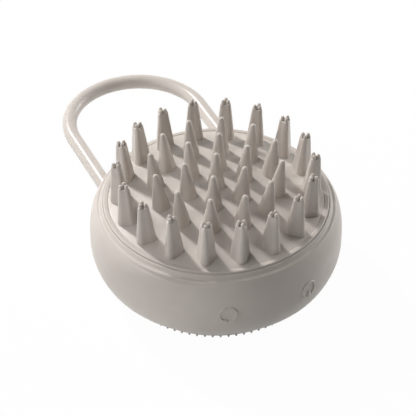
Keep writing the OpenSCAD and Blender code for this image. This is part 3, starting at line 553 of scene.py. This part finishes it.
def stand_on_pad(shape, count, ring_r, lean, start=0):
    """Copies of a shape: leaned outwards, moved out to the ring and up to the dome, and turned
    round the axis, one after the other, the first by so many degrees."""
    tilt = math.radians(lean)
    x = ring_r + shape[..., 0] * math.cos(tilt) + shape[..., 2] * math.sin(tilt)
    z = dome_z(ring_r) - shape[..., 0] * math.sin(tilt) + shape[..., 2] * math.cos(tilt)
    y = shape[..., 1]
    for turn in math.radians(start) + np.arange(count) * 2 * np.pi / count:
        c, s = math.cos(turn), math.sin(turn)
        yield np.stack([x * c - y * s, x * s + y * c, z], -1)


# %% Pointed cones
CONE_H, CONE_FOOT_D, CONE_TIP_D = 14.0, 6.0, 1.9
CONE_RINGS = [(1, 0, 0), (6, 10.3, 5), (12, 20.2, 7.5)]     # count, radius, lean
CONE_BOW, CONE_SIDES, CONE_FLARE = 1.12, 0.03, 0.2


def cone_shape():
    """A cone whose side bows out a little and whose tip is a ball: radius = foot + (tip - foot) *
    height share ** bow. Its section is hardly three-sided: radius * (1 + sides * cos(3 turn))."""
    t = np.linspace(0, 1, 26)
    top = CONE_H - CONE_TIP_D / 2
    side = np.stack([CONE_FOOT_D / 2 + (CONE_TIP_D - CONE_FOOT_D) / 2 * t ** CONE_BOW, top * t], 1)
    foot = [(0, -FOOT_SINK), (CONE_FOOT_D / 2 + CONE_FLARE, -FOOT_SINK)]
    shape = lathe(np.concatenate([foot, side, arc(0, top, CONE_TIP_D / 2, 12, 90, 9)]), 48)
    turn = np.arctan2(shape[..., 1], shape[..., 0])
    swell = 1 + CONE_SIDES * np.cos(3 * turn)
    shape[..., :2] *= swell[..., None]
    return shape


cone = cone_shape()
cone_grids = [(grid, True) for ring in CONE_RINGS for grid in stand_on_pad(cone, *ring)]
make_piece("cone_skins", cone_grids, "housing", ["massage_cones"], "pad_silicone")

# %% [markdown]
# ### A forked prong
#
# A prong's section is three round lobes run together, and a round nub stands on each lobe. The
# side is one grid whose radius changes with the turn and the height. The top is cut in three
# sectors, one a lobe: rings of points lead from the sector's edge to the nub's foot, and on up
# the nub to its tip. The rings share their points with the side, so the prong is one skin.

# %% Forked prongs
PRONG_H, NUB_H = 15.5, 1.2
PRONG_RING = (18, field_r - 4.4, 4, -1)     # count, radius, lean, turn
FOOT_OFFSET, FOOT_LOBE_R = 1.5, 2.1
TOP_OFFSET, TOP_LOBE_R = 1.0, 0.95
NUB_R = 0.62
WAIST = 0.05
EDGE_AT_LOBE, EDGE_BETWEEN = 0.38, 0.13
SCALLOP, HOLLOW, HOLLOW_SLOPE = 0.3, 0.8, 0.45
ARC_POINTS, SPOKE_POINTS = 22, 6
LOBE_TOP = PRONG_H - NUB_H


def lobed_r(turn, offset, lobe_r):
    """Outline of a triangle with round corners of radius lobe_r, "offset" from its middle: the
    corner's circle near a corner, the straight side / cos(angle from its middle) elsewhere, and
    all of it pulled in a little between the corners."""
    away = np.abs((turn + np.pi / 3) % (2 * np.pi / 3) - np.pi / 3)
    tangent = np.arctan2(lobe_r * math.sin(math.pi / 3), offset + lobe_r / 2)
    chord = np.sqrt(np.clip(lobe_r ** 2 - (offset * np.sin(away)) ** 2, 0, None))
    corner = offset * np.cos(away) + chord
    side = (offset / 2 + lobe_r) / np.cos(np.pi / 3 - away)
    return np.where(away < tangent, corner, side) * (1 - WAIST * between(turn))


def between(turn):
    """0 at a lobe and 1 half way to the next: (1 - cos(3 turn)) / 2."""
    return (1 - np.cos(3 * turn)) / 2


def rim_edge(turn):
    """Radius of the rounding along the top's rim: wide at a lobe and fine between two."""
    return EDGE_AT_LOBE + (EDGE_BETWEEN - EDGE_AT_LOBE) * between(turn)


def top_rim_z(turn):
    """Height of the top's rim, which dips between the lobes."""
    return LOBE_TOP - SCALLOP * between(turn)


def prong_side(turn):
    """Side of the prong from under its foot up to the rounded edge of its top."""
    share = np.linspace(0, 1, 15)[:, None]
    radius = lobed_r(turn, FOOT_OFFSET + (TOP_OFFSET - FOOT_OFFSET) * share,
                     FOOT_LOBE_R + (TOP_LOBE_R - FOOT_LOBE_R) * share)
    height = (top_rim_z(turn) - rim_edge(turn)) * share
    corner = np.radians(np.array([[22.5], [45], [67.5], [90]]))
    radius = np.concatenate([0 * radius[:1], radius[:1], radius,
                             radius[-1] - rim_edge(turn) * (1 - np.cos(corner))])
    height = np.concatenate([0 * height[:1] - FOOT_SINK, 0 * height[:1] - FOOT_SINK, height,
                             top_rim_z(turn) - rim_edge(turn) * (1 - np.sin(corner))])
    return np.stack([radius * np.cos(turn), radius * np.sin(turn), height], -1)


def hollow_z(x, y):
    """Height of the top inside the rim: it falls off behind the rim to a level floor, by a smooth
    step over the outer share of the way in."""
    turn = np.arctan2(y, x)
    rim_r = lobed_r(turn, TOP_OFFSET, TOP_LOBE_R) - rim_edge(turn)
    inside = np.clip((1 - np.hypot(x, y) / rim_r) / HOLLOW_SLOPE, 0, 1)
    fall = inside * inside * (3 - 2 * inside)
    return top_rim_z(turn) * (1 - fall) + (LOBE_TOP - SCALLOP - HOLLOW) * fall


def prong_sector(rim):
    """Top of one lobe and its nub. The sector's edge is the rim's arc, then a spoke in to the
    middle and one out again; mixing it with the nub's circle gives the rings between."""
    spoke = np.linspace(1, 0, SPOKE_POINTS + 1)[1:, None]
    edge = np.concatenate([rim, rim[-1] * spoke, (rim[0] * spoke)[-2::-1]])
    middle = np.array([TOP_OFFSET, 0])
    angle = np.arctan2(edge[:, 1], edge[:, 0] - TOP_OFFSET)
    circle = np.stack([np.cos(angle), np.sin(angle)], -1)
    mix = np.linspace(0, 1, 7)[:, None, None]
    flat = edge * (1 - mix) + (middle + NUB_R * circle) * mix
    top = np.concatenate([flat, hollow_z(flat[..., 0], flat[..., 1])[..., None]], -1)
    rise = arc(0, PRONG_H - NUB_R, NUB_R, 0, 90, 7)
    nub = np.stack([TOP_OFFSET + rise[:, :1] * circle[:, 0], rise[:, :1] * circle[:, 1],
                    rise[:, 1:] + 0 * angle], -1)
    return np.concatenate([top, nub])


def prong_shape():
    """The side and the three sectors, each turned a third of the way round from the last."""
    turn = np.linspace(-np.pi / 3, 5 * np.pi / 3, 3 * ARC_POINTS, endpoint=False)
    side = prong_side(turn)
    sector = prong_sector(side[-1, :ARC_POINTS + 1, :2])
    grids = [side]
    for third in range(3):
        c, s = math.cos(2 * np.pi * third / 3), math.sin(2 * np.pi * third / 3)
        grids.append(np.stack([sector[..., 0] * c - sector[..., 1] * s,
                               sector[..., 0] * s + sector[..., 1] * c, sector[..., 2]], -1))
    return grids


prong_grids = [(grid, True) for part in prong_shape() for grid in stand_on_pad(part, *PRONG_RING)]
make_piece("prong_skins", prong_grids, "housing", ["forked_prongs"], "pad_silicone")

# %% [markdown]
# ## The hang loop
#
# The loop is a round cord of silicone, bent once into a half circle, with a button at each end
# that keeps it in the body. A curve object with a bevel would do, but a circle carried along the
# path as a grid also gives the buttons and closes the ends.

# %% Hang loop
LOOP_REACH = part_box("hang_loop")[1].y / MM
LOOP_END_Y = 24.5
BUTTON_R, BUTTON_T, BUTTON_SOFT, NECK_SOFT = 4.2, 2.5, 0.5, 0.4
NECK_H = 3.0                 # straight stretch behind a button, before the leg's even rows
loop_arc_y = LOOP_REACH - LEG_X - LEG_R


def loop_grid():
    """Circle square to a path: up one straight leg, round the half circle and down the other.
    The circle's radius steps out to the button's at each end and closes to a point."""
    button = soften([(0, 0), (BUTTON_R, 0), (BUTTON_R, BUTTON_T), (LEG_R, BUTTON_T),
                     (LEG_R, BUTTON_T + NECK_H)], [0, BUTTON_SOFT, BUTTON_SOFT, NECK_SOFT, 0])
    leg = np.linspace(BUTTON_T + NECK_H + 1, loop_arc_y - LOOP_END_Y, 30)[:-1]
    bend = np.linspace(0, 180, 91)
    turn = np.radians(np.concatenate([np.zeros(len(button) + len(leg)), bend,
                                      np.full(len(button) + len(leg), 180.0)]))
    ahead = np.concatenate([button[:, 1], leg])
    up = LOOP_END_Y + ahead
    centre_x = np.where(turn > 0, LEG_X * np.cos(turn), LEG_X)
    centre_y = np.concatenate([up, loop_arc_y + LEG_X * np.sin(np.radians(bend)), up[::-1]])
    radius = np.concatenate([button[:, 0], np.full(2 * len(leg) + len(bend), LEG_R), button[::-1, 0]])
    around = np.linspace(0, 2 * np.pi, 56, endpoint=False)
    aside = radius[:, None] * np.cos(around)
    return np.stack([centre_x[:, None] + aside * np.cos(turn)[:, None],
                     centre_y[:, None] + aside * np.sin(turn)[:, None],
                     SPLIT_Z + radius[:, None] * np.sin(around)], -1)


make_piece("loop_cord", [(loop_grid(), True)], "housing", ["hang_loop"], "loop_silicone")

# %% [markdown]
# ## The grip pad
#
# Under the body lies a thin pad with rings of small nubs, so that the massager doesn't slide off
# the edge of a basin, and a smooth disc that it rests on. A nub is repeated hundreds of times, so
# it has only a few dozen faces.

# %% Grip pad
GRIP_WALL, REST_R = 1.0, 12.0
GRIP_NUB_D, GRIP_NUB_H, GRIP_TIP_R, GRIP_TIP_ROUND = 1.1, 1.0, 0.275, 0.07
NUB_PITCH, NUB_INSET, NUB_SINK = 2.64, 0.05, 0.1
grip_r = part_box("grip_pad")[1].x / MM


def grip_grids():
    """The disc and its rest as one turned line, and rings of nubs, each a short blunt cone."""
    back_z = GRIP_NUB_H + GRIP_WALL
    line = soften([(0, 0), (REST_R, 0), (REST_R, GRIP_NUB_H), (grip_r, GRIP_NUB_H), (grip_r, back_z),
                   (0, back_z)], [0, 0.3, 0.2, 0.4, 0.05, 0])
    yield lathe(line, 240), True
    root_z = GRIP_NUB_H + NUB_SINK
    nub = lathe([(0, 0), (GRIP_TIP_R - GRIP_TIP_ROUND, 0), (GRIP_TIP_R + 0.02, GRIP_TIP_ROUND),
                 (GRIP_NUB_D / 2, root_z), (0, root_z)], 12)
    first = grip_r - NUB_INSET - GRIP_NUB_D / 2
    for ring in range(int((first - REST_R - GRIP_NUB_D) / NUB_PITCH) + 1):
        radius = first - ring * NUB_PITCH
        count = round(2 * np.pi * radius / NUB_PITCH)
        for turn in np.arange(count) * 2 * np.pi / count:
            yield nub + np.array([radius * math.cos(turn), radius * math.sin(turn), 0]), True


make_piece("grip_skin", list(grip_grids()), "housing", ["grip_pad"], "pad_silicone")

# %% [markdown]
# ## Finishes
#
# Each finish is a node material for one real material of the massager. Patterns are laid out in
# millimetres of the object itself, so a grain has its true size on every piece and doesn't slide
# when a piece moves. A number that is the same everywhere is set on the shader, and only what
# varies over the surface comes from noise.

# %% Material helpers
def add(tree, kind, settings=None, **inputs):
    """Adds a shader node. An input is a number or a colour, or another node's output to link."""
    made = tree.nodes.new("ShaderNode" + kind)
    for key, value in (settings or {}).items():
        setattr(made, key, value)
    for key, value in inputs.items():
        socket = made.inputs[key.replace("_", " ")]
        if isinstance(value, bpy.types.NodeSocket):
            tree.links.new(value, socket)
        else:
            socket.default_value = value
    return made


def start_finish(name, **sockets):
    """A new material, its shader with the constant sockets set, and the place in millimetres."""
    material = bpy.data.materials.new(name)
    material.use_nodes = True
    tree = material.node_tree
    shader = tree.nodes["Principled BSDF"]
    for key, value in sockets.items():
        shader.inputs[key.replace("_", " ")].default_value = value
    where = add(tree, "TexCoord").outputs["Object"]
    place = add(tree, "VectorMath", {"operation": "SCALE"}, Vector=where, Scale=1 / MM).outputs["Vector"]
    return material, tree, shader, place


def noise(tree, place, size, detail=2.0, stretch=(1, 1, 1)):
    """Noise whose spots measure "size" millimetres, longer along an axis by its stretch."""
    across = [1 / (size * s) for s in stretch]
    laid = add(tree, "Mapping", Vector=place, Scale=across).outputs["Vector"]
    return add(tree, "TexNoise", Vector=laid, Scale=1.0, Detail=detail, Roughness=0.55).outputs["Fac"]


def spread(tree, factor, low, high):
    """Turns a noise factor, mostly between 0.35 and 0.65, into a value from low to high."""
    return add(tree, "MapRange", Value=factor, From_Min=0.35, From_Max=0.65, To_Min=low,
               To_Max=high).outputs["Result"]


def tinted(tree, factor, colour, change):
    """The colour, darker and lighter by a share "change" where the factor is low and high."""
    shades = [(*[min(1, c * (1 + side * change)) for c in colour], 1) for side in (-1, 1)]
    mixed = add(tree, "Mix", {"data_type": "RGBA"})
    tree.links.new(spread(tree, factor, 0, 1), mixed.inputs[0])
    mixed.inputs[6].default_value, mixed.inputs[7].default_value = shades
    return mixed.outputs[2]


def finish_surface(tree, shader, colour, roughness, height, bump):
    """Links colour and roughness, and a bump whose height is "bump" millimetres."""
    tree.links.new(colour, shader.inputs["Base Color"])
    tree.links.new(roughness, shader.inputs["Roughness"])
    relief = add(tree, "Bump", Height=height, Distance=bump * MM, Strength=1.0)
    tree.links.new(relief.outputs["Normal"], shader.inputs["Normal"])


# %% [markdown]
# ### Silicone
#
# The silicone is dyed through in one warm greige and has a satin skin from the etched mould:
# light spreads softly over it, with a gentle highlight and no mirror image. A little light
# scatters just under the surface. Mottling of a few percent, a fine grain and a roughness that
# wanders keep it from looking like painted plastic.

# %% Silicone finishes
GREIGE = (0.552, 0.503, 0.460)
SKIN_SCATTER = (1.0, 0.75, 0.6)       # how far red, green and blue light spread, as shares
SCATTER_MM = 0.8
MOTTLE_MM, MOTTLE_CHANGE = 9, 0.02
GRAIN_DEPTH = 0.008


def silicone(name, colour, grain, rough, scatter):
    """Satin silicone with a grain of so many millimetres and roughness about "rough", in which
    "scatter" is the share of light that travels under the skin."""
    material, tree, shader, place = start_finish(
        name, Subsurface_Weight=scatter, Subsurface_Radius=SKIN_SCATTER,
        Subsurface_Scale=SCATTER_MM * MM, IOR=1.41, Specular_IOR_Level=0.5)
    fine = noise(tree, place, grain, 3)
    finish_surface(tree, shader, tinted(tree, noise(tree, place, MOTTLE_MM), colour, MOTTLE_CHANGE),
                   spread(tree, noise(tree, place, 3.5), rough - 0.04, rough + 0.05), fine, GRAIN_DEPTH)
    return material


def jacket_silicone():
    return silicone("jacket_silicone", GREIGE, 0.35, 0.43, 0.06)


def pad_silicone():
    return silicone("pad_silicone", GREIGE, 0.3, 0.45, 0.10)


def loop_silicone():
    return silicone("loop_silicone", GREIGE, 0.3, 0.32, 0.08)


def key_silicone():
    return silicone("key_silicone", GREIGE, 0.35, 0.38, 0.06)


def seal_rubber():
    return silicone("seal_rubber", (0.014, 0.014, 0.014), 0.25, 0.6, 0.0)


def lead_red():
    return silicone("lead_red", (0.38, 0.012, 0.008), 0.2, 0.38, 0.05)


def lead_blue():
    return silicone("lead_blue", (0.014, 0.052, 0.26), 0.2, 0.38, 0.05)


def lead_yellow():
    return silicone("lead_yellow", (0.6, 0.44, 0.03), 0.2, 0.38, 0.05)


# %% [markdown]
# ### Plastics
#
# The shells are moulded in a greige near the jacket's, with the fine spark-eroded texture of a
# part that nobody is meant to see. The sockets are glossy ivory nylon, and the chips are matt
# black epoxy. The board is laminate under a green mask, whose weave shows faintly.

# %% Plastic finishes
def moulded(name, colour, grain, bump, rough, change=0.03):
    """Moulded plastic with a grain of so many millimetres."""
    material, tree, shader, place = start_finish(name, IOR=1.5, Specular_IOR_Level=0.5)
    finish_surface(tree, shader, tinted(tree, noise(tree, place, 6), colour, change),
                   spread(tree, noise(tree, place, 2), rough - 0.05, rough + 0.05),
                   noise(tree, place, grain, 4), bump)
    return material


def shell_plastic():
    return moulded("shell_plastic", (0.46, 0.42, 0.385), 0.4, 0.03, 0.5)


def port_plastic():
    return moulded("port_plastic", (0.46, 0.42, 0.385), 0.3, 0.012, 0.4)


def socket_ivory():
    return moulded("socket_ivory", (0.72, 0.69, 0.58), 0.8, 0.01, 0.22)


def chip_black():
    return moulded("chip_black", (0.012, 0.012, 0.013), 0.12, 0.01, 0.48, 0.15)


def board_laminate():
    """Green mask over woven glass: two bands a millimetre apart cross in the bump."""
    material, tree, shader, place = start_finish("board_laminate", Coat_Weight=0.4, Coat_Roughness=0.15)
    weave = [add(tree, "TexWave", {"bands_direction": way}, Vector=place, Scale=0.3,
                 Distortion=0.3).outputs["Fac"] for way in ("X", "Y")]
    cloth = add(tree, "Math", {"operation": "MULTIPLY"})
    tree.links.new(weave[0], cloth.inputs[0])
    tree.links.new(weave[1], cloth.inputs[1])
    finish_surface(tree, shader, tinted(tree, cloth.outputs[0], (0.012, 0.092, 0.042), 0.15),
                   spread(tree, noise(tree, place, 2), 0.3, 0.42), cloth.outputs[0], 0.01)
    return material


def foam_grey():
    """Open foam: round cells of half a millimetre, with painted shade that darkens the inside of each
    cell.
    """
    material, tree, shader, place = start_finish("foam_grey", Specular_IOR_Level=0.2)
    cells = add(tree, "TexVoronoi", Vector=place, Scale=1.8).outputs["Distance"]
    # Painted shade: the colour is darker towards the middle of each cell, where the bump makes a hollow.
    finish_surface(tree, shader, tinted(tree, cells, (0.05, 0.05, 0.056), 0.5),
                   spread(tree, cells, 0.85, 0.95), cells, 0.2)
    return material


# %% [markdown]
# ### Metals
#
# The screws are zinc-plated, the motor's can is drawn steel with fine lines along its axis, the
# weight is sintered and slightly pitted, and the charging pins are gold-plated. A metal shows
# mostly what it mirrors, so its roughness does more for it than its colour.

# %% Metal finishes
def metal(name, colour, rough, size, stretch=(1, 1, 1), bump=0.006, change=0.05):
    """Metal whose roughness and height follow noise spots of a size, drawn out by the stretch."""
    material, tree, shader, place = start_finish(name, Metallic=1.0)
    lines = noise(tree, place, size, 3, stretch)
    finish_surface(tree, shader, tinted(tree, noise(tree, place, 3), colour, change),
                   spread(tree, lines, rough - 0.06, rough + 0.08), lines, bump)
    return material


def screw_steel():
    return metal("screw_steel", (0.58, 0.6, 0.63), 0.3, 0.3)


def motor_steel():
    return metal("motor_steel", (0.5, 0.51, 0.53), 0.32, 0.15, (20, 1, 1))


def weight_metal():
    return metal("weight_metal", (0.24, 0.225, 0.2), 0.5, 0.25, bump=0.03, change=0.15)


def contact_gold():
    return metal("contact_gold", (0.78, 0.53, 0.16), 0.2, 0.2)


def cell_foil():
    return metal("cell_foil", (0.42, 0.46, 0.5), 0.34, 1.2, (1, 3, 1), bump=0.05)


def magnet_ferrite():
    return moulded("magnet_ferrite", (0.034, 0.034, 0.036), 0.15, 0.03, 0.62, 0.2)


def copper_winding():
    """Enamelled wire: ridges 0.3 mm apart along the motor's axis, with painted shade in the grooves
    between them.
    """
    material, tree, shader, place = start_finish("copper_winding", Metallic=1.0, Coat_Weight=0.6)
    turns = add(tree, "TexWave", {"bands_direction": "X"}, Vector=place, Scale=1.0).outputs["Fac"]
    # Painted shade: the colour is darker in the grooves between the turns, where the bump is low.
    finish_surface(tree, shader, tinted(tree, turns, (0.5, 0.17, 0.05), 0.2),
                   spread(tree, noise(tree, place, 1), 0.22, 0.34), turns, 0.05)
    return material


# %% [markdown]
# ### Giving each piece its finish
#
# A piece of the lesson and a piece that stays as the CAD made it take their finish from the same
# list, by the slot that the record names for each node.

# %% Give out the finishes
FINISHES = {make.__name__: make for make in (
    jacket_silicone, pad_silicone, loop_silicone, key_silicone, seal_rubber, lead_red, lead_blue,
    lead_yellow, shell_plastic, port_plastic, socket_ivory, chip_black, board_laminate, foam_grey,
    screw_steel, motor_steel, weight_metal, contact_gold, cell_foil, magnet_ferrite, copper_winding)}
made_finishes = {name: make() for name, make in FINISHES.items()}


def give_finish(piece, slot_name):
    """Drops the piece's materials and gives it the one finish."""
    piece.data.materials.clear()
    piece.data.materials.append(made_finishes[slot_name])


for part in frame["record"]["subparts"]:
    give_finish(frame["nodes"][part["node"]], part["material_slot"])
for piece in bpy.context.scene.objects:
    if piece.get("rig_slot"):
        give_finish(piece, piece["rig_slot"])

# %% [markdown]
# ## Floor, background and light
#
# The photograph is a cut-out on white. The floor and the world look white to the camera and to
# reflections, while the light that they throw on the object stays at a plain level. The floor
# keeps a faint shadow. A small lamp behind the left shoulder casts the prongs' crisp shadows
# forwards and to the right. Low lamps skim the two sides, two wide ones fill in from the front
# left and from above, and the surroundings add hardly anything.

# %% Floor and world
FLOOR_HALF = 4.0
FLOOR_GLOW = 0.97
WORLD_FILL = 0.02


def seen_or_mirrored(tree):
    """1 for rays from the camera, or that a gloss or a glass sends on, and 0 for the rest."""
    path = add(tree, "LightPath")
    first = add(tree, "Math", {"operation": "MAXIMUM"})
    both = add(tree, "Math", {"operation": "MAXIMUM"})
    tree.links.new(path.outputs["Is Camera Ray"], first.inputs[0])
    tree.links.new(path.outputs["Is Glossy Ray"], first.inputs[1])
    tree.links.new(first.outputs[0], both.inputs[0])
    tree.links.new(path.outputs["Is Transmission Ray"], both.inputs[1])
    return both.outputs[0]


def floor_finish():
    """Matt white paper that the camera sees mostly as an even white, with a faint shadow."""
    material, tree, shader, place = start_finish("floor_white", Specular_IOR_Level=0.0)
    finish_surface(tree, shader, tinted(tree, noise(tree, place, 40), (0.8, 0.8, 0.8), 0.01),
                   spread(tree, noise(tree, place, 40), 0.85, 0.95), noise(tree, place, 0.6), 0.01)
    share = add(tree, "Math", {"operation": "MULTIPLY"})
    tree.links.new(seen_or_mirrored(tree), share.inputs[0])
    share.inputs[1].default_value = FLOOR_GLOW
    white = add(tree, "Emission", Color=(1, 1, 1, 1), Strength=1.0)
    mixed = add(tree, "MixShader", Fac=share.outputs[0])
    tree.links.new(shader.outputs["BSDF"], mixed.inputs[1])
    tree.links.new(white.outputs["Emission"], mixed.inputs[2])
    tree.links.new(mixed.outputs["Shader"], tree.nodes["Material Output"].inputs["Surface"])
    return material


def add_floor():
    """A large flat square at the height of the grip pad's foot."""
    mesh = bpy.data.meshes.new("floor")
    h = FLOOR_HALF
    mesh.from_pydata([(-h, -h, 0), (h, -h, 0), (h, h, 0), (-h, h, 0)], [], [(0, 1, 2, 3)])
    floor = bpy.data.objects.new("floor", mesh)
    bpy.context.scene.collection.objects.link(floor)
    mesh.materials.append(floor_finish())


def add_world():
    """White where it is seen or mirrored, and a faint even light everywhere else."""
    world = bpy.data.worlds.new("studio")
    world.use_nodes = True
    tree = world.node_tree
    backdrop = tree.nodes["Background"]
    backdrop.inputs["Color"].default_value = (1, 1, 1, 1)
    level = add(tree, "MapRange", Value=seen_or_mirrored(tree), To_Min=WORLD_FILL, To_Max=1.0)
    tree.links.new(level.outputs["Result"], backdrop.inputs["Strength"])
    bpy.context.scene.world = world


add_floor()
add_world()

# %% Lamps
AIM = Vector((0, 0, 30)) * MM
LAMP_DISTANCE = 1.0          # metres from the object to every lamp


def add_lamp(name, azimuth, elevation, size, power):
    """A square lamp that faces the object from a direction given in degrees. Its size is in
    metres and its power in watts."""
    a, e = math.radians(azimuth), math.radians(elevation)
    away = Vector((math.cos(a) * math.cos(e), math.sin(a) * math.cos(e), math.sin(e)))
    data = bpy.data.lights.new(name, "AREA")
    data.size = size
    data.energy = power
    lamp = bpy.data.objects.new(name, data)
    lamp.location = AIM + away * LAMP_DISTANCE
    lamp.rotation_euler = away.to_track_quat("Z", "Y").to_euler()
    bpy.context.scene.collection.objects.link(lamp)


add_lamp("key_lamp", 107, 38, 0.1, 8.4)
add_lamp("rim_lamp", 8, 14, 0.5, 6.4)
add_lamp("left_lamp", 175, 14, 0.5, 2.7)
add_lamp("front_left_lamp", 205, 40, 0.5, 2.3)
add_lamp("top_lamp", 130, 62, 0.6, 1.9)
bpy.context.scene.view_settings.view_transform = "Standard"
